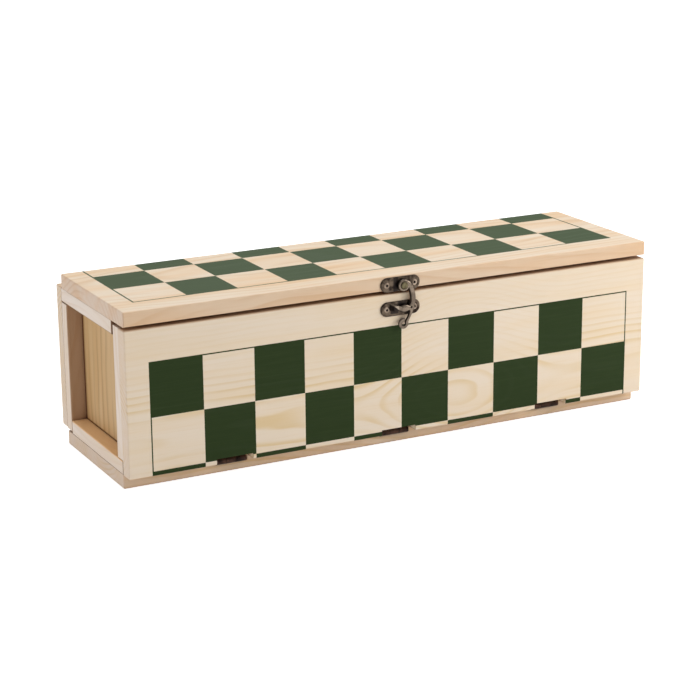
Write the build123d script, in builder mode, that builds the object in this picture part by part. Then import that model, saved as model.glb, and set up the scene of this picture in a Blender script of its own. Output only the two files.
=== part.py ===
from build123d import *
import os

# Folding draughts box. Four printed boards wrap round two loose end panels and unfold, on three
# lines of butt hinges, into one flat board. Millimetres; X along the box, -Y is the latch side,
# Z up, origin on the underside of the bottom board at its centre.

# Overall sizes
box_length = 359.5
box_depth = 113.0
box_height = 109.5
board = 9.0

# Rounded edges
board_round = 1.0
batten_round = 0.6

# How the boards meet when the box is closed
edge_gap = 0.4
front_overlap = 0.6
back_fold_gap = 1.4
back_overlap = 0.7
lid_front_gap = 2.1

# Battens glued inside the ends of the boards, and the grooves in them
batten_width = 22.0
batten_thickness = 8.5
batten_gap = 0.5
rail_slot = 1.8
groove_lip = 9.8
groove_depth = 4.8
panel_thickness = 5.0
panel_side_gap = 0.2
panel_edge_gap = 0.3

# Butt hinges, three on each fold line, set out from a line just left of the middle
hinge_count = 3
hinge_spacing = 111.0
hinge_shift = -1.1
barrel_radius = 2.2
barrel_length = 19.6
knuckle_count = 3
knuckle_gap = 0.3
leaf_thickness = 1.0
leaf_width = 12.0
leaf_gap = 0.3
leaf_corner = 1.5
pin_radius = 0.9
running_clearance = 0.05
notch_margin = 2.2
notch_floor_gap = 0.5

# Swing-hook latch on the front and its dome-headed screws; the arm is measured from the pivot
latch_x = -0.5
plate_length = 27.0
plate_width = 9.0
plate_thickness = 0.9
plate_edge = 0.3
plate_drop = 0.9
catch_drop = 15.2
screw_spacing = 19.0
screw_length = 6.5
screw_radius = 0.9
screw_clearance = 0.05
dome_height = 0.5
dome_radius = 1.75
dome_edge = 0.3
boss_radius = 3.1
boss_height = 0.8
pivot_shift = 1.3
pivot_drop = 0.6
rivet_radius = 1.15
rivet_head_radius = 2.2
rivet_head_height = 0.9
rivet_edge = 0.5
arm_thickness = 1.5
arm_play = 0.2
arm_edge = 0.3
eye_radius = 3.8
bow_width = 3.0
tail_width = 2.0
curl_radius = 3.1
curl_hole_radius = 1.3
head_left = -3.5
head_right = 6.4
head_top = -12.3
head_bottom = -18.2
head_round = 1.9
nose_left = -6.0
nose_top = -12.8
nose_bottom = -14.4
tab_left = -8.2
tab_right = -4.2
tab_margin = 0.8
tab_run = 1.6
tab_clearance = 0.35
tab_thickness = 0.7

# Draughtsmen, stored in stacks on the bottom board
disc_radius = 12.5
disc_height = 6.0
stack_count = 5
stack_rows = 2
stack_columns = 2
stack_gap = 1.5
stack_play = 0.05
stack_end_gap = 4.0

# Places worked out from the sizes above
front_face = -box_depth / 2
back_face = box_depth / 2
end_face = box_length / 2
front_inner = front_face + board
back_inner = back_face - board
lid_inner = box_height - board
axis_inset = board - (barrel_radius - leaf_thickness)
front_axis = (front_face + axis_inset, axis_inset)
back_axis = (back_face - axis_inset, axis_inset)
lid_axis = (back_face - axis_inset, box_height - axis_inset)
knuckle_pitch = barrel_length / knuckle_count
leaf_start = barrel_radius + leaf_gap
notch_length = barrel_length + 2 * notch_margin
hinge_xs = [hinge_shift + (i - (hinge_count - 1) / 2) * hinge_spacing for i in range(hinge_count)]
sides = {"left": -1, "right": 1}

os.makedirs("parts", exist_ok=True)


def save(piece, name):
    piece.label = name
    export_step(piece, f"parts/{name}.step")


def x_section(x):
    """Sketch plane across the box at x, drawn in (y, z)."""
    return Plane.YZ.offset(x)


def hinge_places(axis, x_dir, z_dir):
    """A frame on each hinge of a line: X on the pin, Z along the leaf, Y away from its board."""
    return [Plane(origin=(x, *axis), x_dir=x_dir, z_dir=z_dir) for x in hinge_xs]


front_on_board = hinge_places(front_axis, (1, 0, 0), (0, 0, 1))
front_on_base = hinge_places(front_axis, (-1, 0, 0), (0, 1, 0))
back_on_board = hinge_places(back_axis, (-1, 0, 0), (0, 0, 1))
back_on_base = hinge_places(back_axis, (1, 0, 0), (0, -1, 0))
lid_on_back = hinge_places(lid_axis, (1, 0, 0), (0, 0, -1))
lid_on_lid = hinge_places(lid_axis, (-1, 0, 0), (0, -1, 0))


# Plane of the front's outer face, drawn in (x, z), with offsets running outwards
front_plane = Plane(origin=(0, front_face, 0), x_dir=(1, 0, 0), z_dir=(0, -1, 0))
latch_z = box_height - plate_drop - plate_width / 2
catch_z = latch_z - catch_drop


def screw_places(z):
    """Planes on the outer face of a latch plate at its two screws, facing outwards."""
    outer = front_plane.offset(plate_thickness)
    return [
        Plane(origin=outer.from_local_coords((x, z, 0)), x_dir=outer.x_dir, z_dir=outer.z_dir)
        for x in (latch_x - screw_spacing / 2, latch_x + screw_spacing / 2)
    ]


def board_blank(y_low, y_high, z_low, z_high, outwards):
    """One board with its edges eased, except where the battens are glued flush to its ends.

    outwards is 1 where the board's outer face is the one with the higher y or z, else -1.
    """
    flat = y_high - y_low > z_high - z_low
    across = Axis.Y if flat else Axis.Z
    through = Axis.Z if flat else Axis.Y
    with BuildPart() as blank:
        with BuildSketch(x_section(-end_face)):
            with Locations(((y_low + y_high) / 2, (z_low + z_high) / 2)):
                Rectangle(y_high - y_low, z_high - z_low)
        extrude(amount=box_length)
        glued = blank.edges().filter_by(across).group_by(through)[0 if outwards > 0 else -1]
        fillet(blank.edges() - glued, board_round)
    return blank.part


def cut_notches(y_low, y_high, z_low, z_high):
    """Cut a notch at each hinge, over the given range of y and z, out of the board in work."""
    for x in hinge_xs:
        with BuildSketch(x_section(x - notch_length / 2)) as notch:
            with Locations(((y_low + y_high) / 2, (z_low + z_high) / 2)):
                Rectangle(y_high - y_low, z_high - z_low)
        extrude(notch.sketch, amount=notch_length, mode=Mode.SUBTRACT)


def drill_pilots(z):
    """Drill the two screw holes of a latch plate into the board in work."""
    with Locations(*screw_places(z)):
        Hole(radius=screw_radius + screw_clearance, depth=screw_length + screw_clearance)


# Where each board's free edges lie
bottom_front_edge = front_inner + edge_gap
bottom_back_edge = back_inner - edge_gap
front_lower_edge = board - front_overlap
front_top_edge = lid_inner - lid_front_gap
back_lower_edge = board + back_fold_gap
back_top_edge = lid_inner + back_overlap
barrel_reach = barrel_radius + notch_floor_gap
notch_reach = barrel_radius + notch_margin

with BuildPart() as bottom_board:
    add(board_blank(bottom_front_edge, bottom_back_edge, 0, board, -1))
    cut_notches(front_inner, front_axis[0] + barrel_reach, front_axis[1] - barrel_reach, board + edge_gap)
    cut_notches(back_axis[0] - barrel_reach, back_inner, back_axis[1] - barrel_reach, board + edge_gap)
save(bottom_board.part, "bottom_board")

with BuildPart() as front_board:
    add(board_blank(front_face, front_inner, front_lower_edge, front_top_edge, -1))
    cut_notches(front_face - edge_gap, front_inner + edge_gap, 0, front_axis[1] + notch_reach)
    drill_pilots(catch_z)
save(front_board.part, "front_board")

with BuildPart() as back_board:
    add(board_blank(back_inner, back_face, back_lower_edge, back_top_edge, 1))
    cut_notches(back_inner - edge_gap, back_face + edge_gap, 0, back_axis[1] + notch_reach)
    cut_notches(back_inner - edge_gap, back_face + edge_gap, lid_axis[1] - notch_reach, box_height)
save(back_board.part, "back_board")

with BuildPart() as lid_board:
    add(board_blank(front_face, bottom_back_edge, lid_inner, box_height, 1))
    cut_notches(lid_axis[0] - barrel_reach, back_inner, lid_inner - edge_gap, lid_axis[1] + barrel_reach)
    drill_pilots(latch_z)
save(lid_board.part, "lid_board")

# Battens follow each other round the end like a pinwheel, each butting against the next
rail_top = board + batten_thickness
lid_rail_bottom = lid_inner - batten_thickness
front_stile_inner = front_inner + batten_thickness
back_stile_inner = back_inner - batten_thickness
groove_width = panel_thickness + 2 * panel_side_gap


def batten_section(side, wide, low, high, groove_high):
    """U section of a batten in (x, other axis) with its groove open to the inside of the ring.

    low and high bound the batten's thickness; groove_high says which of them is grooved.
    """
    outer = side * end_face
    middle = outer - side * wide / 2
    groove_x = outer - side * (groove_lip - panel_side_gap + groove_width / 2)
    with Locations((middle, (low + high) / 2)):
        Rectangle(wide, high - low)
    mouth = high if groove_high else low
    floor = high - groove_depth if groove_high else low + groove_depth
    with Locations((groove_x, (mouth + floor) / 2)):
        Rectangle(groove_width, groove_depth, mode=Mode.SUBTRACT)


def ease_end(batten, side, along):
    """Round the two long edges of the batten in work that show at the end of the box."""
    ends = batten.edges().filter_by(along).group_by(Axis.X)
    fillet(ends[0] if side < 0 else ends[-1], batten_round)


xz_plane = Plane(origin=(0, 0, 0), x_dir=(1, 0, 0), z_dir=(0, -1, 0))
for name, side in sides.items():
    with BuildPart() as lid_rail:
        with BuildSketch(xz_plane.offset(-back_inner + edge_gap)):
            batten_section(side, batten_width, lid_rail_bottom, lid_inner, False)
        extrude(amount=back_inner - edge_gap - (front_stile_inner + rail_slot))
        ease_end(lid_rail, side, Axis.Y)
    save(lid_rail.part, f"lid_rail_{name}")

    with BuildPart() as bottom_rail:
        with BuildSketch(xz_plane.offset(-back_stile_inner + batten_gap)):
            batten_section(side, batten_width, board, rail_top, True)
        extrude(amount=back_stile_inner - batten_gap - bottom_front_edge)
        ease_end(bottom_rail, side, Axis.Y)
    save(bottom_rail.part, f"bottom_rail_{name}")

    with BuildPart() as front_stile:
        with BuildSketch(Plane.XY.offset(rail_top + batten_gap)):
            batten_section(side, batten_width, front_inner, front_stile_inner, True)
        extrude(amount=front_top_edge - rail_top - batten_gap)
        ease_end(front_stile, side, Axis.Z)
    save(front_stile.part, f"front_stile_{name}")

    with BuildPart() as back_stile:
        with BuildSketch(Plane.XY.offset(back_lower_edge)):
            batten_section(side, batten_width, back_stile_inner, back_inner, False)
        extrude(amount=lid_rail_bottom - batten_gap - back_lower_edge)
        ease_end(back_stile, side, Axis.Z)
    save(back_stile.part, f"back_stile_{name}")

    # The end panel stands in all four grooves
    panel_low_y = front_stile_inner - groove_depth + panel_edge_gap
    panel_high_y = back_stile_inner + groove_depth - panel_edge_gap
    panel_low_z = rail_top - groove_depth + panel_edge_gap
    panel_high_z = lid_rail_bottom + groove_depth - panel_edge_gap
    panel_outer = side * (end_face - groove_lip)
    with BuildPart() as end_panel:
        with BuildSketch(x_section(panel_outer)):
            with Locations(((panel_low_y + panel_high_y) / 2, (panel_low_z + panel_high_z) / 2)):
                Rectangle(panel_high_y - panel_low_y, panel_high_z - panel_low_z)
        extrude(amount=-side * panel_thickness)
    save(end_panel.part, f"end_panel_{name}")


def hinge_leaf(knuckles, bore):
    """One leaf in its hinge's frame, carrying the numbered knuckles, bored for the pin."""
    with BuildPart() as leaf:
        with BuildSketch(Plane.XZ.offset(leaf_thickness - barrel_radius)):
            with Locations((0, (leaf_start + leaf_width) / 2)):
                Rectangle(barrel_length, leaf_width - leaf_start)
        extrude(amount=-leaf_thickness)
        far_corners = leaf.edges().filter_by(Axis.Y).group_by(Axis.Z)[-1]
        fillet(far_corners, leaf_corner)
        for k in knuckles:
            x = (k - (knuckle_count - 1) / 2) * knuckle_pitch
            width = knuckle_pitch - knuckle_gap
            with BuildSketch(Plane.YZ.offset(x - width / 2)):
                Circle(barrel_radius)
                with Locations((barrel_radius - leaf_thickness / 2, leaf_start)):
                    Rectangle(leaf_thickness, 2 * leaf_start)
                Circle(bore, mode=Mode.SUBTRACT)
            extrude(amount=width)
    return leaf.part


pinned_leaf = hinge_leaf(range(0, knuckle_count, 2), pin_radius)
turning_leaf = hinge_leaf(range(1, knuckle_count, 2), pin_radius + running_clearance)


def hinge_group(leaf, hinges, name):
    with BuildPart() as group:
        with Locations(*hinges):
            add(leaf)
    save(group.part, name)


hinge_group(pinned_leaf, front_on_board, "front_hinge_leaves")
hinge_group(turning_leaf, front_on_base, "base_front_hinge_leaves")
hinge_group(pinned_leaf, back_on_board, "back_hinge_leaves")
hinge_group(turning_leaf, back_on_base, "base_back_hinge_leaves")
hinge_group(pinned_leaf, lid_on_back, "back_top_hinge_leaves")
hinge_group(turning_leaf, lid_on_lid, "lid_hinge_leaves")

for name, axis in (("front", front_axis), ("back", back_axis), ("lid", lid_axis)):
    with BuildPart() as hinge_pins:
        for x in hinge_xs:
            with BuildSketch(x_section(x - barrel_length / 2)):
                with Locations(axis):
                    Circle(pin_radius)
            extrude(amount=barrel_length)
    save(hinge_pins.part, f"{name}_hinge_pins")

# Screw of the latch, seated on its plate and pointing down
with BuildPart() as dome_screw:
    with BuildSketch(Plane.XZ):
        with BuildLine():
            Polyline(
                (0, dome_height),
                (dome_radius - dome_edge, dome_height),
                (dome_radius, dome_height - dome_edge),
                (dome_radius, 0),
                (screw_radius, 0),
                (screw_radius, -screw_length),
                (0, -screw_length),
                close=True,
            )
        make_face()
    revolve(axis=Axis.Z)


for name, z in (("latch", latch_z), ("catch", catch_z)):
    with BuildPart() as screws:
        with Locations(*screw_places(z)):
            add(dome_screw.part)
    save(screws.part, f"{name}_screws")

pivot_x = latch_x + pivot_shift
pivot_z = latch_z - pivot_drop
arm_back = plate_thickness + boss_height + arm_play
arm_front = arm_back + arm_thickness


def latch_plate_blank(z):
    """Round-ended plate on the front plane with its two screw holes."""
    with BuildPart() as plate:
        with BuildSketch(front_plane):
            with Locations((latch_x, z)):
                SlotOverall(plate_length, plate_width)
        extrude(amount=plate_thickness)
        chamfer(plate.faces().sort_by(Axis.Y)[0].edges(), plate_edge)
        with Locations(*screw_places(z)):
            Hole(radius=screw_radius + screw_clearance, depth=2 * plate_thickness)
    return plate.part


with BuildPart() as latch_plate:
    add(latch_plate_blank(latch_z))
    with BuildSketch(front_plane.offset(plate_thickness)):
        with Locations((pivot_x, pivot_z)):
            Circle(boss_radius)
    extrude(amount=boss_height)
    with BuildSketch(front_plane):
        with Locations((pivot_x, pivot_z)):
            Circle(rivet_radius)
    extrude(amount=plate_thickness + boss_height, mode=Mode.SUBTRACT)
save(latch_plate.part, "latch_plate")

with BuildPart() as latch_rivet:
    with BuildSketch(front_plane):
        with Locations((pivot_x, pivot_z)):
            Circle(rivet_radius)
    extrude(amount=arm_front + arm_play)
    with BuildSketch(front_plane.offset(arm_front + arm_play)):
        with Locations((pivot_x, pivot_z)):
            Circle(rivet_head_radius)
    extrude(amount=rivet_head_height)
    chamfer(latch_rivet.faces().sort_by(Axis.Y)[0].edges(), rivet_edge)
save(latch_rivet.part, "latch_rivet")

# Swinging hook: an eye, a bow to the right, a head with a nose that points left and a curled tail
bow_points = ((2.0, 0.4), (4.6, -3.6), (5.4, -7.4), (5.1, -11.0), (4.3, -15.0))
tail_points = ((4.1, -16.5), (3.5, -18.6), (2.3, -20.9), (0.2, -23.2))
curl_centre = (-1.5, -25.1)


def from_pivot(point):
    return (pivot_x + point[0], pivot_z + point[1])


with BuildPart() as latch_arm:
    with BuildSketch(front_plane.offset(arm_back)):
        with Locations(from_pivot((0, 0))):
            Circle(eye_radius)
        for points, width in ((bow_points, bow_width), (tail_points, tail_width)):
            with BuildLine():
                Spline(*[from_pivot(point) for point in points])
            trace(line_width=width)
        with Locations(from_pivot(((head_left + head_right) / 2, (head_top + head_bottom) / 2))):
            RectangleRounded(head_right - head_left, head_top - head_bottom, head_round)
        with Locations(from_pivot(((nose_left + head_right) / 2, (nose_top + nose_bottom) / 2))):
            Rectangle(head_right - nose_left, nose_top - nose_bottom)
        with Locations(from_pivot(curl_centre)):
            Circle(curl_radius)
            Circle(curl_hole_radius, mode=Mode.SUBTRACT)
        with Locations(from_pivot((0, 0))):
            Circle(rivet_radius + running_clearance, mode=Mode.SUBTRACT)
    extrude(amount=arm_thickness)
    chamfer(latch_arm.faces().sort_by(Axis.Y)[0].outer_wire().edges(), arm_edge)
save(latch_arm.part, "latch_arm")

# Catch: a tongue lifted off the plate, open to the right, that the nose tucks behind
tab_level = arm_front + tab_clearance
tab_plane = Plane(
    origin=(pivot_x, front_face, pivot_z + nose_top + tab_margin),
    x_dir=(1, 0, 0),
    z_dir=(0, 0, -1),
)
with BuildPart() as catch_plate:
    add(latch_plate_blank(catch_z))
    with BuildSketch(tab_plane):
        with BuildLine():
            Polyline(
                (tab_left, plate_thickness / 2),
                (tab_left, plate_thickness),
                (tab_left + tab_run, tab_level),
                (tab_right, tab_level),
                (tab_right, tab_level + tab_thickness),
                (tab_left + tab_run / 2, tab_level + tab_thickness),
                (tab_left - tab_thickness, plate_thickness),
                (tab_left - tab_thickness, plate_thickness / 2),
                close=True,
            )
        make_face()
    extrude(amount=nose_top - nose_bottom + 2 * tab_margin)
save(catch_plate.part, "catch_plate")

# Draughtsmen: two sets, each a block of stacks on the bottom board beside the left end panel
disc_pitch = 2 * disc_radius + stack_gap
first_stack = -end_face + batten_width + stack_end_gap + disc_radius
set_pitch = stack_columns * disc_pitch
for number, name in enumerate(("light_draughtsmen", "dark_draughtsmen")):
    with BuildPart() as discs:
        for level in range(stack_count):
            middle = first_stack + number * set_pitch + (stack_columns - 1) * disc_pitch / 2
            with BuildSketch(Plane.XY.offset(board + level * (disc_height + stack_play))):
                with Locations((middle, 0)):
                    with GridLocations(disc_pitch, disc_pitch, stack_columns, stack_rows):
                        Circle(disc_radius)
            extrude(amount=disc_height)
    save(discs.part, name)
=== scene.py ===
import math

import bpy
from mathutils import Matrix, Vector


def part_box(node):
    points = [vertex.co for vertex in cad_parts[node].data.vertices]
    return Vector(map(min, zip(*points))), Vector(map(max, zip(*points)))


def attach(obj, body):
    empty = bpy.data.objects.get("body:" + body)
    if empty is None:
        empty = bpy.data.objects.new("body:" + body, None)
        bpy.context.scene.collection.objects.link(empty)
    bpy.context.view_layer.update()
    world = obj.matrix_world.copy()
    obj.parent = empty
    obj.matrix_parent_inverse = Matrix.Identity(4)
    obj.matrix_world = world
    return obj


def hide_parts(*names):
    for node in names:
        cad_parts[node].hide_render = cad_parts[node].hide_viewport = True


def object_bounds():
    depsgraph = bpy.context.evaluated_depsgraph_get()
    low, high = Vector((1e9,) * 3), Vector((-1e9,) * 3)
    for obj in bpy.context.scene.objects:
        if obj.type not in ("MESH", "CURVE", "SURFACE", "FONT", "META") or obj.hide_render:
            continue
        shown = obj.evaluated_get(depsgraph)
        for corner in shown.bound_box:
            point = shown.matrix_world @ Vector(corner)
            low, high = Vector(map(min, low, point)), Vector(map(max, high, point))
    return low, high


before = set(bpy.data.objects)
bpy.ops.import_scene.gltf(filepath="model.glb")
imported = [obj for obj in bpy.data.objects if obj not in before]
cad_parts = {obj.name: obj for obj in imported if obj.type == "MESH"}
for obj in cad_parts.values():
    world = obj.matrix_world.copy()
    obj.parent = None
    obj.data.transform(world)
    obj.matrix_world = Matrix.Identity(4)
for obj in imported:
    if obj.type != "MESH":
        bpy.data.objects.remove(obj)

cad_low, cad_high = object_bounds()
MM = 0.001
X, Y, Z = range(3)


def box_mm(node):
    """Lowest and highest corner of a CAD node at rest, in millimetres."""
    return [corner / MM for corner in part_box(node)]


def linear(red, green, blue):
    """sRGB 0-255 to the linear colour that shaders take."""
    def channel(value):
        value /= 255
        return value / 12.92 if value <= 0.04045 else ((value + 0.055) / 1.055) ** 2.4
    return (channel(red), channel(green), channel(blue), 1.0)


# Node maths written as formulas

class Term:
    """A socket of a node tree that can be used in sums and products."""

    def __init__(self, tree, socket):
        self.tree = tree
        self.socket = socket

    def math(self, operation, *others):
        node = self.tree.nodes.new("ShaderNodeMath")
        node.operation = operation
        self.tree.links.new(self.socket, node.inputs[0])
        for place, other in enumerate(others, 1):
            if isinstance(other, Term):
                self.tree.links.new(other.socket, node.inputs[place])
            else:
                node.inputs[place].default_value = other
        return Term(self.tree, node.outputs[0])

    def __add__(self, other):
        return self.math("ADD", other)

    def __sub__(self, other):
        return self.math("SUBTRACT", other)

    def __mul__(self, other):
        return self.math("MULTIPLY", other)

    def __truediv__(self, other):
        return self.math("DIVIDE", other)

    def above(self, other):
        return self.math("GREATER_THAN", other)

    def below(self, other):
        return self.math("LESS_THAN", other)

    def inverted(self):
        """1 minus this."""
        return self * -1 + 1

    def ramp_up(self, low, high):
        """0 below low, 1 above high, smooth between."""
        node = self.tree.nodes.new("ShaderNodeMapRange")
        node.interpolation_type = "SMOOTHSTEP"
        node.inputs["From Min"].default_value = low
        node.inputs["From Max"].default_value = high
        self.tree.links.new(self.socket, node.inputs["Value"])
        return Term(self.tree, node.outputs["Result"])


def position(tree):
    """x, y, z of the surface in the box's frame at rest, in millimetres."""
    coords = tree.nodes.new("ShaderNodeTexCoord")
    split = tree.nodes.new("ShaderNodeSeparateXYZ")
    tree.links.new(coords.outputs["Object"], split.inputs[0])
    return [Term(tree, split.outputs[axis]) * (1 / MM) for axis in range(3)]


def noise(tree, terms, detail=3.0, roughness=0.5):
    """Noise of three terms, centred on zero, about -0.5 to 0.5."""
    join = tree.nodes.new("ShaderNodeCombineXYZ")
    for axis, term in enumerate(terms):
        tree.links.new(term.socket, join.inputs[axis])
    node = tree.nodes.new("ShaderNodeTexNoise")
    node.inputs["Scale"].default_value = 1.0
    node.inputs["Detail"].default_value = detail
    node.inputs["Roughness"].default_value = roughness
    tree.links.new(join.outputs[0], node.inputs["Vector"])
    return Term(tree, node.outputs["Fac"]) - 0.5


def mix(tree, factor, first, second, blend="MIX"):
    """Colour mix; each colour is a tuple or a colour socket."""
    node = tree.nodes.new("ShaderNodeMix")
    node.data_type = "RGBA"
    node.blend_type = blend
    if isinstance(factor, Term):
        tree.links.new(factor.socket, node.inputs[0])
    else:
        node.inputs[0].default_value = factor
    for place, colour in ((6, first), (7, second)):
        if isinstance(colour, tuple):
            node.inputs[place].default_value = colour
        else:
            tree.links.new(colour, node.inputs[place])
    return node.outputs[2]


def bump(tree, height, distance):
    node = tree.nodes.new("ShaderNodeBump")
    node.inputs["Strength"].default_value = 1.0
    node.inputs["Distance"].default_value = distance
    tree.links.new(height.socket, node.inputs["Height"])
    return node.outputs["Normal"]


OCCLUSION_SAMPLES = 6


def sheltered(tree, reach, closed, open_air):
    """1 in a hollow and 0 in the open, from how open the surface is within reach, in metres."""
    node = tree.nodes.new("ShaderNodeAmbientOcclusion")
    node.samples = OCCLUSION_SAMPLES
    node.inputs["Distance"].default_value = reach
    return Term(tree, node.outputs["AO"]).ramp_up(closed, open_air).inverted()


def new_material(name):
    material = bpy.data.materials.new(name)
    material.use_nodes = True
    tree = material.node_tree
    return material, tree, tree.nodes["Principled BSDF"]


# Wood

class Tints:
    """Colours of early wood, its warmer patches and late wood, and how strongly rings show."""

    def __init__(self, early, warm, late, rings):
        self.early = early
        self.warm = warm
        self.late = late
        self.rings = rings


BOARD = Tints(linear(234, 218, 198), linear(233, 212, 183), linear(218, 186, 124), 0.62)
LID = Tints(linear(238, 221, 199), linear(236, 205, 169), linear(214, 172, 120), 0.42)
BATTEN = Tints(linear(234, 220, 208), linear(229, 208, 186), linear(212, 180, 146), 0.34)
PANEL = Tints(linear(212, 180, 134), linear(200, 160, 106), linear(166, 124, 72), 0.6)
PALE_DISC = Tints(linear(232, 208, 168), linear(224, 192, 146), linear(200, 158, 104), 0.45)
DARK_DISC = Tints(linear(74, 56, 44), linear(60, 44, 34), linear(42, 30, 24), 0.5)

# Tints that a wood's colour is multiplied by
END_GRAIN = (0.84, 0.79, 0.80, 1)
PALE_END_GRAIN = (0.92, 0.89, 0.91, 1)
SAWN_EDGE = (0.88, 0.79, 0.71, 1)
# Painted shade in creases, slots, gaps and inner corners, within the reach below in metres
CREVICE_SHADE = (0.46, 0.29, 0.19, 1)
CREVICE_SHADE_REACH = 0.004
# Painted shade along the end panel's borders where stiles and rails meet it: full within the core,
# gone beyond the breadth
SEAM_SHADE = (0.28, 0.17, 0.09, 1)
SEAM_SHADE_CORE = 0.2
SEAM_SHADE_BREADTH = 1.4
WIDE_SEAM_SHADE = 3.6
# Painted shade on the recess walls and on the rails' front ends in the slots, and painted warm
# bounce light on the recess floor
RECESS_WALL_SHADE = (0.55, 0.42, 0.31, 1)
RECESS_FLOOR_BOUNCE = (1.08, 0.84, 0.53, 1)
SLOT_END_SHADE = (0.42, 0.30, 0.21, 1)

# The figure's noises: how far each varies along the grain and across it, in millimetres
SWAY = (150, 55)
WOBBLE = (45, 16)
PATCHES = (60, 24)
STREAKS = (120, 14)
FIBRE_LENGTH = 40
FIBRE_FINENESS = 0.9
FIBRE_COVER = 0.16
# How far the rings sway and wobble, in ring widths
SWAY_RINGS = 2.6
WOBBLE_RINGS = 0.6
# Where late wood starts and is darkest in a ring, as shares of its width
LATE_START = 0.4
LATE_PEAK = 0.86
# How much of the rings is lost beyond the fade, and how strong they are in the palest patches
FADED = 0.85
FAINTEST = 0.1
WOOD_ROUGHNESS = 0.58
WOOD_GLOSS = 0.35
WOOD_RELIEF = 0.00005


def wood_figure(tree, place, grain, heart, ring, wave, fade, seed):
    """Growth rings round a heart line along the grain axis, fibres and warm streaks.

    heart is the heart line's place in the two other axes and ring the ring width. The rings
    swell along the grain by wave's height and length with their narrowest place at its centre,
    which makes the loops of a flat-sawn face. They show up to fade's first radius and are
    faint from its second on.
    """
    along = place[grain]
    first, second = [place[axis] for axis in range(3) if axis != grain]

    def varied(lengths, shift, detail):
        far, wide = lengths
        return noise(tree, [along / far + shift, first / wide, second / wide], detail)

    height, length, centre = wave
    sway = varied(SWAY, seed, 2.0) * (ring * SWAY_RINGS)
    wobble = varied(WOBBLE, seed, 2.0) * (ring * WOBBLE_RINGS)
    off_first = first - heart[0]
    off_second = second - heart[1]
    off_centre = ((along - centre) / length).math("MINIMUM", math.pi).math("MAXIMUM", -math.pi)
    swell = off_centre.math("COSINE").inverted() * height
    distance = (off_first * off_first + off_second * off_second).math("SQRT")
    phase = ((distance + swell + sway + wobble) / ring).math("FRACT")
    late = phase.ramp_up(LATE_START, LATE_PEAK) * phase.ramp_up(LATE_PEAK, 1.0).inverted()
    patchy = varied(PATCHES, seed * 2, 1.0).ramp_up(-0.2, 0.16)
    shown = patchy * ((distance + sway).ramp_up(*fade) * -FADED + 1)
    fibre_place = [along / FIBRE_LENGTH + seed, first * FIBRE_FINENESS, second * FIBRE_FINENESS]
    fibre = noise(tree, fibre_place, 4.0, 0.65)
    streak = varied(STREAKS, seed, 2.0)
    return late * (shown * (1 - FAINTEST) + FAINTEST), fibre, streak


STRAIGHT = (0.0, 50.0, 0.0)
EVEN = (400.0, 500.0)


def wood(
    name, grain, heart, ring=4.5, wave=STRAIGHT, fade=EVEN, seed=0.0, tints=BOARD,
    faces=(), seam_shades=(), printed=None, ink=None,
):
    """Wood of one piece.

    faces lists the piece's own tinted faces, some of them painted shade, as (axis, direction,
    place, depth, tint): the tint fades in over the depth up to the place, seen along the axis in
    that direction. The seam list holds lines of painted shade where a neighbour's edge meets the
    piece, as (axis, place, breadth to each side).
    """
    material, tree, shader = new_material(name)
    place = position(tree)
    late, fibre, streak = wood_figure(tree, place, grain, heart, ring, wave, fade, seed)
    cast = mix(tree, streak.ramp_up(-0.2, 0.28), tints.early, tints.warm)
    colour = mix(tree, late * tints.rings, cast, tints.late)
    colour = mix(tree, fibre.ramp_up(0.0, 0.22) * FIBRE_COVER, colour, tints.late)
    for axis, direction, limit, depth, tint in faces:
        near = (place[axis] * direction).ramp_up(limit * direction - depth, limit * direction)
        colour = mix(tree, near, colour, tint, "MULTIPLY")
    # Painted shade along the seams with neighbouring pieces
    for axis, line, breadth in seam_shades:
        beside = (place[axis] - line).math("ABSOLUTE").ramp_up(SEAM_SHADE_CORE, breadth).inverted()
        colour = mix(tree, beside, colour, SEAM_SHADE, "MULTIPLY")
    rough = late * -0.06 + WOOD_ROUGHNESS
    gloss = late * 0.02 + WOOD_GLOSS
    if printed:
        covered = printed(tree, place)
        print_colour = mix(tree, fibre.ramp_up(-0.1, 0.3) * 0.5, ink.colour, ink.pale)
        colour = mix(tree, covered, colour, print_colour)
        gloss = covered * (ink.gloss - WOOD_GLOSS) + gloss
    # Painted shade where the surface is closed in: slots, gaps and inner corners
    hollow = sheltered(tree, CREVICE_SHADE_REACH, 0.05, 0.75)
    colour = mix(tree, hollow, colour, CREVICE_SHADE, "MULTIPLY")
    tree.links.new(colour, shader.inputs["Base Color"])
    tree.links.new(rough.socket, shader.inputs["Roughness"])
    tree.links.new(gloss.socket, shader.inputs["Specular IOR Level"])
    relief = late * 0.4 + fibre
    tree.links.new(bump(tree, relief, WOOD_RELIEF), shader.inputs["Normal"])
    return material


# Print: ten by ten squares laid over the four boards, rows counted from the lid's free edge.
# Where a row is split between two boards, each part carries on to the board's edge.

SQUARE = 33.0
SQUARES = 10
PRINT_MARGIN = 15.4
LID_PRINT_SHIFT = -0.85
PRINT_LINE = 0.8
LID_PRINT_LINE = 1.1
PRINT_FRAY = 0.006
FRAY_FINENESS = 0.9
ROUNDED_EDGE = 0.95
SHARP_EDGE = 0.12
# From the board's edge to the print's end on the lid and front
LID_PRINT_INSET = 19.6
FRONT_PRINT_INSET = 21.0
# Shares of a square that the back and bottom show of the row that they have in common with the
# board before them
BACK_FIRST_PART = 0.567
BOTTOM_FIRST_PART = 0.908


class Ink:
    """Printing ink's colour, its colour over hard fibres and its gloss."""

    def __init__(self, colour, pale, gloss):
        self.colour = colour
        self.pale = pale
        self.gloss = gloss


MATT_INK = Ink(linear(36, 53, 16), linear(46, 62, 26), 0.17)
# The lid's ink is the other boards' ink painted paler as a painted sheen, and made glossier
SHEENED_LID_INK = Ink(linear(60, 79, 45), linear(68, 86, 52), 0.42)

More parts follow.
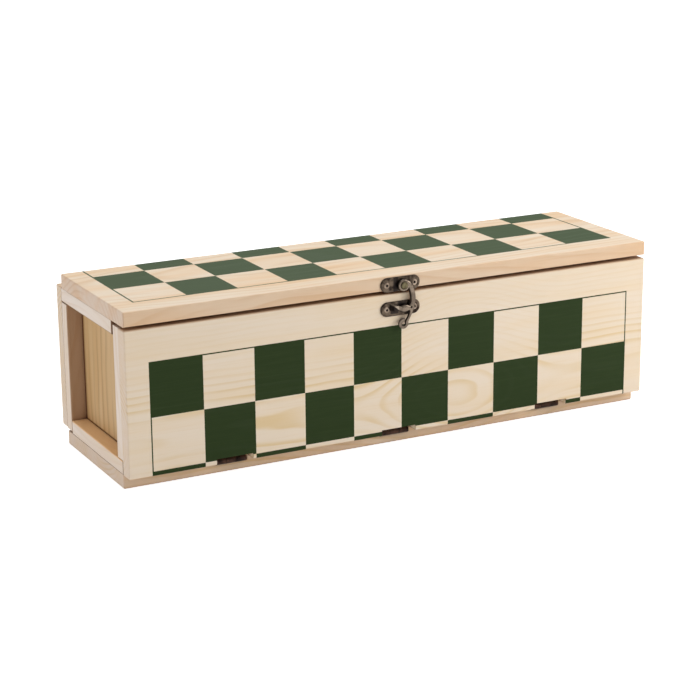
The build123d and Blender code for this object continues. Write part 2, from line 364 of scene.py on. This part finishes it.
lid_low, lid_high = box_mm("lid_board")
front_low, front_high = box_mm("front_board")
back_low, back_high = box_mm("back_board")
bottom_low, bottom_high = box_mm("bottom_board")
print_left = lid_low.x + PRINT_MARGIN


def printed_face(
    face_axis, outwards, face, row_axis, row_line, row_number, row_step,
    shift=0.0, line=PRINT_LINE, wrap=ROUNDED_EDGE,
):
    """Ink mask for a board's outer face, whose place along face_axis is face.

    row_line is where row row_number starts, and row_step is 1 where rows count up along row_axis.
    wrap is how far the print follows the board's rounded edges.
    """
    def mask(tree, place):
        def within(border):
            low, high = -border, SQUARES + border
            return column.above(low) * column.below(high) * row.above(low) * row.below(high)

        fray = noise(tree, [term * FRAY_FINENESS for term in place], 2.0) * PRINT_FRAY
        column = (place[X] - (print_left + shift)) / SQUARE + fray
        row = (place[row_axis] - row_line) * (row_step / SQUARE) + row_number + fray
        parity = (column.math("FLOOR") + row.math("FLOOR") + 1).math("FLOORED_MODULO", 2)
        inside = within(0)
        squares = inside * parity.below(0.5)
        outline = within(line / SQUARE) - inside
        on_face = (place[face_axis] * outwards).above(face * outwards - wrap)
        return squares.math("MAXIMUM", outline) * on_face

    return mask


def dress(node, material):
    """Give a carried-over CAD node its material."""
    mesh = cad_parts[node].data
    mesh.materials.clear()
    mesh.materials.append(material)


lid_print = printed_face(
    Z, 1, lid_high.z, Y, lid_low.y + LID_PRINT_INSET, 0, 1, LID_PRINT_SHIFT, LID_PRINT_LINE,
)
back_print = printed_face(
    Y, 1, back_high.y, Z, back_high.z - BACK_FIRST_PART * SQUARE, 3, -1,
)
bottom_print = printed_face(
    Z, -1, bottom_low.z, Y, bottom_high.y - BOTTOM_FIRST_PART * SQUARE, 6, -1, wrap=SHARP_EDGE,
)
front_print = printed_face(
    Y, -1, front_low.y, Z, front_high.z - FRONT_PRINT_INSET, SQUARES, 1,
)

# A shaded face's tint is full this far inside the face, so that its rounded edge is tinted too,
# and fades over FACE_FADE
FACE_SKIN = 0.3
WALL_SKIN = 0.4
FACE_FADE = 0.5


def board_faces(low, high, edge_axis, end_grain):
    """End grain at both ends and sawn wood along both long edges."""
    return [
        (X, -1, low.x + FACE_SKIN, FACE_FADE, end_grain),
        (X, 1, high.x - FACE_SKIN, FACE_FADE, end_grain),
        (edge_axis, -1, low[edge_axis] + FACE_SKIN, FACE_FADE, SAWN_EDGE),
        (edge_axis, 1, high[edge_axis] - FACE_SKIN, FACE_FADE, SAWN_EDGE),
    ]


dress("lid_board", wood(
    "lid_pine", X, heart=(10, 60), ring=4.2, wave=(6, 70, -40), fade=(62, 110), seed=3.1, tints=LID,
    faces=board_faces(lid_low, lid_high, Y, END_GRAIN), printed=lid_print, ink=SHEENED_LID_INK,
))
dress("front_board", wood(
    "front_pine", X, heart=(-32, 30), ring=3.2, wave=(6.5, 25, 44), fade=(31, 46), seed=7.7,
    faces=board_faces(front_low, front_high, Z, PALE_END_GRAIN), printed=front_print, ink=MATT_INK,
))
dress("back_board", wood(
    "back_pine", X, heart=(28, 62), ring=3.0, wave=(6, 34, -30), fade=(36, 54), seed=12.3,
    faces=board_faces(back_low, back_high, Z, PALE_END_GRAIN), printed=back_print, ink=MATT_INK,
))
dress("bottom_board", wood(
    "bottom_pine", X, heart=(-14, 34), ring=3.2, wave=(6, 40, 20), fade=(40, 60), seed=21.9,
    faces=board_faces(bottom_low, bottom_high, Y, END_GRAIN), printed=bottom_print, ink=MATT_INK,
))

# End frames: painted shade on the battens' walls inside the recess and on the rails' front ends,
# and painted warm bounce light on the recess floor
RAIL_HEART = (-140, 60)
STILE_HEART = (-140, -20)
BATTENS = (
    ("lid_rail", Y, RAIL_HEART, 2), ("bottom_rail", Y, RAIL_HEART, 5),
    ("front_stile", Z, STILE_HEART, 8), ("back_stile", Z, STILE_HEART, 11),
)
SIDE_SEED_STEP = 17
PANEL_SEED = 31
for number, side in enumerate(("left", "right")):
    rail_low, rail_high = box_mm(f"bottom_rail_{side}")
    lid_rail_low = box_mm(f"lid_rail_{side}")[0]
    back_wall = box_mm(f"back_stile_{side}")[0].y
    front_wall = box_mm(f"front_stile_{side}")[1].y
    own_faces = {
        "lid_rail": [
            (Z, -1, lid_rail_low.z + WALL_SKIN, FACE_FADE, RECESS_WALL_SHADE),
            (Y, -1, lid_rail_low.y + FACE_SKIN, FACE_FADE, SLOT_END_SHADE),
        ],
        "bottom_rail": [
            (Z, 1, rail_high.z - WALL_SKIN, FACE_FADE, RECESS_FLOOR_BOUNCE),
            (Y, -1, rail_low.y + FACE_SKIN, FACE_FADE, SLOT_END_SHADE),
        ],
        "front_stile": [(Y, 1, front_wall - WALL_SKIN, FACE_FADE, RECESS_WALL_SHADE)],
        "back_stile": [(Y, -1, back_wall + WALL_SKIN, FACE_FADE, RECESS_WALL_SHADE)],
    }
    for batten, grain, heart, seed in BATTENS:
        dress(f"{batten}_{side}", wood(
            f"{batten}_{side}_pine", grain, heart, ring=3.6, wave=(4, 30, 10),
            seed=seed + number * SIDE_SEED_STEP, tints=BATTEN, faces=own_faces[batten],
        ))
    # Painted shade along the panel's borders with the stiles and rails, widest beside the back
    # stile
    seam_shades = [
        (Y, back_wall, WIDE_SEAM_SHADE), (Y, front_wall, SEAM_SHADE_BREADTH),
        (Z, rail_high.z, SEAM_SHADE_BREADTH), (Z, lid_rail_low.z, SEAM_SHADE_BREADTH),
    ]
    dress(f"end_panel_{side}", wood(
        f"end_panel_{side}_pine", Z, heart=(-60, -110), ring=5.4, wave=(3, 38, 40),
        seed=PANEL_SEED + number, tints=PANEL, seam_shades=seam_shades,
    ))


# Metal

PATINA = linear(26, 21, 22)
PATINA_COVER = 0.85
PATINA_REACH = 0.0025
# Painted highlight: colour of the bright wedge on the catch tab's edge
GLINT = linear(176, 160, 142)
SPECK_FINENESS = 1.1
SPECK_COVER = 0.25
CAST_FINENESS = 2.5
METALLIC = 0.85
METAL_RELIEF = 0.00002
# Painted shadows on the latch plates fade in over this, in millimetres
SHADOW_FADE = 1


def band(term, low, high):
    """1 between low and high, fading to 0 inside each end over the painted shadows' fade."""
    return term.ramp_up(low, low + SHADOW_FADE) * term.ramp_up(high - SHADOW_FADE, high).inverted()


def bronze(
    name, bright, dark, roughness=0.36, patch=5.0, crest=None, painted_shadows=(), glint=None, turned_shade=0.0,
):
    """Antiqued metal: dark patina in patches and hollows, rubbed brighter between.

    crest is the y where rubbing starts and the y where it is full. Each painted shadow is a dark
    area's lowest and highest x and its lowest and highest z. The glint is a painted highlight, a
    bright wedge: the x and z of its tip, the x and z of its broad end and half its breadth there.
    The last argument is how much painted shade is laid where the surface turns away from the front.
    """
    material, tree, shader = new_material(name)
    place = position(tree)
    rubbed = noise(tree, [term / patch for term in place], 2.0).ramp_up(-0.2, 0.16)
    if crest:
        rubbed = rubbed * 0.45 + (place[Y] * -1).ramp_up(-crest[0], -crest[1]) * 0.55
    speck = noise(tree, [term * SPECK_FINENESS for term in place], 2.0).ramp_up(-0.1, 0.25)
    colour = mix(tree, rubbed, dark, bright)
    colour = mix(tree, speck * SPECK_COVER, colour, dark)
    hollow = sheltered(tree, PATINA_REACH, 0.1, 0.9)
    colour = mix(tree, hollow * PATINA_COVER, colour, PATINA)
    # Painted shade on faces that turn away from the front
    if turned_shade:
        coords = tree.nodes.new("ShaderNodeTexCoord")
        split = tree.nodes.new("ShaderNodeSeparateXYZ")
        tree.links.new(coords.outputs["Normal"], split.inputs[0])
        turned_away = (Term(tree, split.outputs[Y]) * -1).ramp_up(0.45, 0.95).inverted()
        colour = mix(tree, turned_away * turned_shade, colour, PATINA)
    # Painted shadows cast by the latch's raised parts onto its plates, in the patina's colour
    for x_low, x_high, z_low, z_high in painted_shadows:
        shadowed = band(place[X], x_low, x_high) * band(place[Z], z_low, z_high)
        colour = mix(tree, shadowed * PATINA_COVER, colour, PATINA)
    # Painted highlight: a bright wedge along the catch tab's edge
    if glint:
        tip_x, tip_z, end_x, end_z, breadth = glint
        run = (place[X] - tip_x) / (end_x - tip_x)
        off = (place[Z] - tip_z - run * (end_z - tip_z)).math("ABSOLUTE")
        inside = (run * breadth - off).ramp_up(-0.1, 0.3) * run.above(0.0) * run.below(1.0)
        colour = mix(tree, inside, colour, GLINT)
    tree.links.new(colour, shader.inputs["Base Color"])
    tree.links.new((rubbed * -0.1 + roughness + 0.06).socket, shader.inputs["Roughness"])
    shader.inputs["Metallic"].default_value = METALLIC
    grainy = noise(tree, [term * CAST_FINENESS for term in place], 2.0)
    tree.links.new(bump(tree, grainy, METAL_RELIEF), shader.inputs["Normal"])
    return material


rivet_low, rivet_high = box_mm("latch_rivet")
arm_low, arm_high = box_mm("latch_arm")
PIVOT = Vector((
    (rivet_low.x + rivet_high.x) / 2,
    (arm_low.y + arm_high.y) / 2,
    (rivet_low.z + rivet_high.z) / 2,
))


def shadow_patch(x_low, x_high, z_low, z_high):
    """A painted shadow's area given from the latch's pivot."""
    return PIVOT.x + x_low, PIVOT.x + x_high, PIVOT.z + z_low, PIVOT.z + z_high


# Painted shadows beside the eye's boss, under the catch's tab and above the arm's head
SHADOW_BESIDE_BOSS = shadow_patch(-6.8, -2.6, -5, 6)
SHADOW_UNDER_TAB = shadow_patch(-8.8, -2.2, -18.2, -12.0)
SHADOW_BEHIND_HEAD = shadow_patch(-3.8, 3.0, -13.4, -9.8)
# Painted highlight wedge on the catch tab's edge: tip, broad end and half breadth
TAB_GLINT = (PIVOT.x - 8.8, PIVOT.z - 10.9, PIVOT.x - 4.0, PIVOT.z - 13.6, 1.3)
hinge_bronze = bronze("hinge_bronze", linear(84, 60, 49), linear(36, 25, 20))
plate_bronze = bronze(
    "plate_bronze", linear(116, 101, 86), linear(44, 33, 26), patch=3.5,
    painted_shadows=[SHADOW_BESIDE_BOSS, SHADOW_UNDER_TAB, SHADOW_BEHIND_HEAD], glint=TAB_GLINT, turned_shade=0.8,
)
arm_bronze = bronze(
    "arm_bronze", linear(150, 134, 118), linear(52, 42, 33), 0.3,
    crest=(PIVOT.y + 0.3, PIVOT.y - 1.1), turned_shade=0.5,
)
# Painted shade for the inner sides of the bow and tail and for the knob's dimple
shaded_bronze = bronze("shaded_bronze", linear(60, 48, 38), linear(28, 21, 17))
rivet_bronze = bronze("rivet_bronze", linear(124, 115, 86), linear(84, 74, 54), 0.42, 3.0)
screw_bronze = bronze("screw_bronze", linear(214, 194, 174), linear(140, 122, 106))
# Painted shade: screw recesses are given near-black metal
recess_shade = bronze("recess_shade", linear(24, 18, 14), linear(10, 8, 6), 0.7)
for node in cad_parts:
    if "hinge_leaves" in node or "hinge_pins" in node:
        dress(node, hinge_bronze)
    elif node.endswith("_screws"):
        dress(node, screw_bronze)
dress("latch_plate", plate_bronze)
dress("catch_plate", plate_bronze)
dress("latch_rivet", rivet_bronze)
dress("latch_arm", arm_bronze)
light_disc_wood = wood(
    "light_disc_wood", Z, heart=(-100, 10), ring=3.0, seed=41.0, tints=PALE_DISC,
)
dark_disc_wood = wood(
    "dark_disc_wood", Z, heart=(-60, 10), ring=3.0, seed=43.0, tints=DARK_DISC,
)
dress("light_draughtsmen", light_disc_wood)
dress("dark_draughtsmen", dark_disc_wood)


# Shapes built for looks, in millimetres of the box's frame

class Shape:
    """Points and faces of one new piece; each face remembers its material number."""

    def __init__(self):
        self.points = []
        self.faces = []
        self.numbers = []

    def skin(self, rings, material=0, closed=False):
        """Join rings of equally many points into a skin, either closed on itself or capped."""
        start = len(self.points)
        count = len(rings[0])
        for ring in rings:
            self.points.extend(ring)
        steps = len(rings) if closed else len(rings) - 1
        for i in range(steps):
            here = start + i * count
            there = start + (i + 1) % len(rings) * count
            for j in range(count):
                k = (j + 1) % count
                self.faces.append((here + j, here + k, there + k, there + j))
                self.numbers.append(material)
        if not closed:
            last = start + (len(rings) - 1) * count
            self.faces.append(tuple(range(start + count - 1, start - 1, -1)))
            self.faces.append(tuple(range(last, last + count)))
            self.numbers += [material, material]

    def turned(self, centre, across, up, axis, profile, segments=28, material=0):
        """Turn a profile of (radius, height) points about the axis through centre."""
        rings = []
        for radius, height in profile:
            ring = []
            for j in range(segments):
                angle = 2 * math.pi * j / segments
                spoke = across * math.cos(angle) + up * math.sin(angle)
                ring.append(centre + axis * height + spoke * radius)
            rings.append(ring)
        self.skin(rings, material)

    def piece(self, name, body, materials, replaced=()):
        """Make the object, which rides on the body and stands in for the replaced CAD nodes."""
        mesh = bpy.data.meshes.new(name)
        mesh.from_pydata([tuple(point * MM) for point in self.points], [], self.faces)
        for material in materials:
            mesh.materials.append(material)
        for face, number in zip(mesh.polygons, self.numbers):
            face.material_index = number
            face.use_smooth = True
        obj = bpy.data.objects.new(name, mesh)
        bpy.context.collection.objects.link(obj)
        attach(obj, body)
        if replaced:
            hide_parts(*replaced)


def smooth_path(points, steps=7):
    """A Catmull-Rom curve through the points, with any number of values each."""
    def between(p, q, r, s, t):
        square = (2 * p - 5 * q + 4 * r - s) * t * t
        cube = (3 * q - p - 3 * r + s) * t ** 3
        return 0.5 * (2 * q + (r - p) * t + square + cube)

    padded = [points[0], *points, points[-1]]
    path = []
    for corners in zip(padded, padded[1:], padded[2:], padded[3:]):
        for i in range(steps):
            path.append(tuple(between(*values, i / steps) for values in zip(*corners)))
    path.append(tuple(points[-1]))
    return path


# Latch: cast arm with rounded sections

ARM_HALF_THICKNESS = (arm_high.y - arm_low.y) / 2
SECTION_POINTS = 12
SHADED_BAND = 0.6


def swollen(value, power):
    """A sine or cosine brought nearer to 1 or -1, which squares up a round section."""
    return math.copysign(abs(value) ** power, value)


def cast_bar(shape, path, closed=False, thickness=1.0, forward=0.0, shaded_side=None):
    """A bar with a rounded section along a path of (x, z, half width) measured from the pivot.

    forward moves it away from the box; the shaded side is -1 or 1, the side of the bar given
    painted shade.
    """
    rings = []
    half_thickness = ARM_HALF_THICKNESS * thickness
    for i, (x, z, half_width) in enumerate(path):
        before = path[i - 1] if i or closed else path[i]
        after = path[(i + 1) % len(path)] if i + 1 < len(path) or closed else path[i]
        run = Vector((after[0] - before[0], 0, after[1] - before[1])).normalized()
        side = Vector((run.z, 0, -run.x))
        ring = []
        for j in range(SECTION_POINTS):
            angle = 2 * math.pi * j / SECTION_POINTS
            out = swollen(math.cos(angle), 0.8) * half_width
            rise = swollen(math.sin(angle), 0.6) * half_thickness
            ring.append(PIVOT + Vector((x, rise - forward, z)) + side * out)
        rings.append(ring)
    start = len(shape.faces)
    shape.skin(rings, closed=closed)
    if shaded_side is None:
        return
    # Faces on the shaded side take the painted shade material
    for i, face in enumerate(shape.faces[start:]):
        turn = 2 * math.pi * (i % SECTION_POINTS + 0.5) / SECTION_POINTS
        if len(face) == 4 and math.cos(turn) * shaded_side > SHADED_BAND:
            shape.numbers[start + i] = 1


def arc_path(x, z, radius, half_width, first, step, count):
    """Points of a circle's arc from the angle first, step radians apart."""
    return [
        (
            x + radius * math.cos(first + step * i),
            z + radius * math.sin(first + step * i),
            half_width,
        )
        for i in range(count)
    ]


EYE_POINTS = 28
EYE_STEP = 2 * math.pi / EYE_POINTS
EYE = arc_path(0, 0, 2.85, 0.95, 0, EYE_STEP, EYE_POINTS)
EYE_FLOOR = arc_path(0, 0, 1.95, 0.7, 0, EYE_STEP, EYE_POINTS)
BOW = [
    (1.4, 2.2, 1.2), (3.8, 0.0, 1.7), (5.3, -3.6, 1.9),
    (6.1, -7.4, 1.95), (6.0, -10.8, 1.9), (5.0, -13.6, 2.0),
]
HEAD = [
    (-1.8, -14.5, 0.7), (-1.3, -14.5, 1.9), (0.4, -14.5, 2.4),
    (2.0, -14.5, 2.2), (3.4, -14.5, 1.5), (4.2, -14.5, 1.2),
]
KNOB = [
    (2.8, -14.4, 0.8), (3.4, -14.4, 1.8), (4.9, -14.4, 2.35), (6.4, -14.4, 1.8), (7.0, -14.4, 0.8),
]
NOSE = [(-1.0, -14.6, 1.6), (-3.4, -13.9, 1.3), (-5.2, -13.4, 0.9), (-6.0, -13.2, 0.4)]
NOSE_FORWARD = 0.2
CURL = arc_path(-0.3, -23.9, 2.3, 1.15, math.radians(20), math.radians(-31), 11)
TAIL = [(5.0, -15.8, 1.4), (4.7, -17.6, 1.15), (3.8, -19.4, 1.05), (2.9, -21.2, 1.05), *CURL]
arm = Shape()
cast_bar(arm, EYE, closed=True, thickness=1.15)
cast_bar(arm, EYE_FLOOR, closed=True, thickness=0.75)
cast_bar(arm, smooth_path(BOW), thickness=1.2, shaded_side=1)
cast_bar(arm, smooth_path(HEAD), thickness=1.35)
cast_bar(arm, smooth_path(KNOB), thickness=1.2)
cast_bar(arm, smooth_path(NOSE, 4), thickness=0.8, forward=NOSE_FORWARD)
cast_bar(arm, smooth_path(TAIL, 4), shaded_side=1)
RIGHT, BACK, UP = Vector((1, 0, 0)), Vector((0, 1, 0)), Vector((0, 0, 1))
DIMPLE = ((0.75, 0.0), (0.55, 0.12), (0.35, -0.05))
dimple_place = PIVOT + Vector((4.9, -1.2 * ARM_HALF_THICKNESS, -14.2))
# The knob's dimple takes the painted shade material
arm.turned(dimple_place, RIGHT, UP, -BACK, DIMPLE, segments=16, material=1)
arm.piece("latch_arm_cast", "latch", [arm_bronze, shaded_bronze], ["latch_arm"])

# Dome screws of the latch, each with a light rim and a round recess painted near-black as shade
LATCH_SCREW = ((1.9, -0.1), (1.85, 0.2), (1.5, 0.5), (1.0, 0.55), (0.75, 0.45))
LATCH_RECESS = ((0.3, 0.0), (0.62, 0.1), (0.76, 0.46))
LATCH_SCREW_RADIUS = 1.75
PLATE_THICKNESS = 0.9
plate_face = front_low.y - PLATE_THICKNESS
for group, body in (("latch_screws", "lid"), ("catch_screws", "front")):
    low, high = box_mm(group)
    screws = Shape()
    for x in (low.x + LATCH_SCREW_RADIUS, high.x - LATCH_SCREW_RADIUS):
        seat = Vector((x, plate_face, (low.z + high.z) / 2))
        screws.turned(seat, RIGHT, UP, -BACK, LATCH_SCREW)
        screws.turned(seat, RIGHT, UP, -BACK, LATCH_RECESS, material=1)
    screws.piece(f"{group}_dressed", body, [screw_bronze, recess_shade], [group])

# Flat-headed screws in the hinge leaves, two to a leaf
HINGES = 3
HINGE_SCREW = ((1.7, -0.2), (1.7, 0.06), (1.5, 0.14), (0.7, 0.14))
HINGE_RECESS = ((0.5, -0.1), (0.72, 0.15))
HINGE_SCREW_SEGMENTS = 20
HINGE_SCREW_SPACING = 11.0
HINGE_SCREW_INSET = 4.4
BARREL_LENGTH = 19.6
# Leaf group, body, the way its leaves run from their barrels and the way they face
LEAVES = (
    ("front_hinge_leaves", "front", UP, BACK),
    ("base_front_hinge_leaves", "base", BACK, UP),
    ("back_hinge_leaves", "back", UP, -BACK),
    ("base_back_hinge_leaves", "base", -BACK, UP),
    ("back_top_hinge_leaves", "back", -UP, -BACK),
    ("lid_hinge_leaves", "lid", -BACK, -UP),
)
for group, body, along, facing in LEAVES:
    low, high = box_mm(group)
    pitch = ((high - low).x - BARREL_LENGTH) / (HINGES - 1)
    far = Vector([high[i] if along[i] + facing[i] > 0 else low[i] for i in range(3)])
    across = along.cross(facing)
    screws = Shape()
    for hinge in range(HINGES):
        middle = low.x + BARREL_LENGTH / 2 + hinge * pitch
        for step in (-0.5, 0.5):
            seat = far - along * HINGE_SCREW_INSET
            seat.x = middle + step * HINGE_SCREW_SPACING
            for material, profile in enumerate((HINGE_SCREW, HINGE_RECESS)):
                screws.turned(seat, across, along, facing, profile, HINGE_SCREW_SEGMENTS, material)
    screws.piece(f"{group}_screws", body, [screw_bronze, recess_shade])

# Turned draughtsmen with a raised rim and a dished face
DISC_RADIUS = 12.5
DISC_WAIST = 12.2
DISC_LEVELS = 5
DISC_FACE = (
    (2.0, 0.7), (8.4, 0.7), (9.0, 0.35), (9.6, 0.7), (10.4, 0.25), (11.2, 0.0), (12.0, 0.12),
    (DISC_RADIUS, 0.7),
)
for group, disc_wood, slot in (
    ("light_draughtsmen", light_disc_wood, "light_disc"),
    ("dark_draughtsmen", dark_disc_wood, "dark_disc"),
):
    low, high = box_mm(group)
    height = (high.z - low.z) / DISC_LEVELS
    upper_face = [(radius, height - rise) for radius, rise in reversed(DISC_FACE)]
    profile = [*DISC_FACE, (DISC_WAIST, height / 2), *upper_face]
    discs = Shape()
    for x in (low.x + DISC_RADIUS, high.x - DISC_RADIUS):
        for y in (low.y + DISC_RADIUS, high.y - DISC_RADIUS):
            for level in range(DISC_LEVELS):
                discs.turned(Vector((x, y, low.z + level * height)), RIGHT, BACK, UP, profile)
    discs.piece(f"{group}_turned", "base", [disc_wood], [group])


# Floor, light and camera

FLOOR_HALF = 12.0
FLOOR_DROP = 0.0002
PAPER = (0.7, 0.7, 0.7, 1)
WHITE = (1, 1, 1, 1)
# Strengths that light the box, and what the camera sees on top of them
PAPER_GLOW = 0.36
PAPER_SEEN = 0.45
SURROUND_GLOW = 0.4
SURROUND_SEEN = 0.7


def floor():
    """White paper that shows brighter than it lights the box."""
    mesh = bpy.data.meshes.new("floor")
    signs = ((-1, -1), (1, -1), (1, 1), (-1, 1))
    corners = [(x * FLOOR_HALF, y * FLOOR_HALF, 0) for x, y in signs]
    mesh.from_pydata(corners, [], [(0, 1, 2, 3)])
    plane = bpy.data.objects.new("floor", mesh)
    plane.location.z = cad_low.z - FLOOR_DROP
    bpy.context.collection.objects.link(plane)
    material, tree, shader = new_material("floor_paper")
    shader.inputs["Base Color"].default_value = PAPER
    shader.inputs["Roughness"].default_value = 1.0
    shader.inputs["Specular IOR Level"].default_value = 0.0
    shader.inputs["Emission Color"].default_value = WHITE
    rays = tree.nodes.new("ShaderNodeLightPath")
    glow = Term(tree, rays.outputs["Is Camera Ray"]) * PAPER_SEEN + PAPER_GLOW
    tree.links.new(glow.socket, shader.inputs["Emission Strength"])
    mesh.materials.append(material)


def area_light(name, place, aim, size, power, colour=(1, 1, 1)):
    light = bpy.data.lights.new(name, "AREA")
    light.shape = "DISK"
    light.size = size
    light.energy = power
    light.color = colour
    lamp = bpy.data.objects.new(name, light)
    lamp.location = place
    lamp.rotation_euler = (Vector(aim) - Vector(place)).to_track_quat("-Z", "Y").to_euler()
    bpy.context.collection.objects.link(lamp)


def studio():
    """A white surround that shows brighter than it lights, and three lamps."""
    world = bpy.data.worlds.new("studio")
    world.use_nodes = True
    tree = world.node_tree
    background = tree.nodes["Background"]
    background.inputs["Color"].default_value = WHITE
    rays = tree.nodes.new("ShaderNodeLightPath")
    strength = Term(tree, rays.outputs["Is Camera Ray"]) * SURROUND_SEEN + SURROUND_GLOW
    tree.links.new(strength.socket, background.inputs["Strength"])
    bpy.context.scene.world = world
    area_light("top", (0.1, 0.25, 1.5), (0, 0, 0), 1.3, 12.5)
    area_light("front_right", (0.62, -0.5, 0.36), (0.05, 0, 0.05), 0.3, 2.6, (1.0, 0.98, 0.96))
    area_light("left_end", (-1.1, 0.02, 0.22), (-0.18, 0, 0.05), 0.5, 1.5)


CAMERA_PLACE = Vector((-0.57795, -1.1083, 0.4146))
CAMERA_AZIMUTH = math.radians(27.31)
CAMERA_DOWN = math.radians(16.365)
CAMERA_ROLL = math.radians(0.47)
CAMERA_LENS = 105.07


def camera():
    """The photograph's camera, solved from the perspective of the printed squares."""
    cam = bpy.data.cameras.new("camera")
    cam.lens = CAMERA_LENS
    cam.sensor_width = 36.0
    holder = bpy.data.objects.new("camera", cam)
    aside, ahead = math.sin(CAMERA_AZIMUTH), math.cos(CAMERA_AZIMUTH)
    flat = math.cos(CAMERA_DOWN)
    forward = Vector((aside * flat, ahead * flat, -math.sin(CAMERA_DOWN)))
    level = Vector((ahead, -aside, 0))
    down = forward.cross(level)
    right = level * math.cos(CAMERA_ROLL) + down * math.sin(CAMERA_ROLL)
    up = level * math.sin(CAMERA_ROLL) - down * math.cos(CAMERA_ROLL)
    matrix = Matrix((right, up, -forward)).transposed().to_4x4()
    matrix.translation = CAMERA_PLACE
    holder.matrix_world = matrix
    bpy.context.collection.objects.link(holder)
    bpy.context.scene.camera = holder


floor()
studio()
camera()
bpy.context.scene.view_settings.view_transform = "Standard"
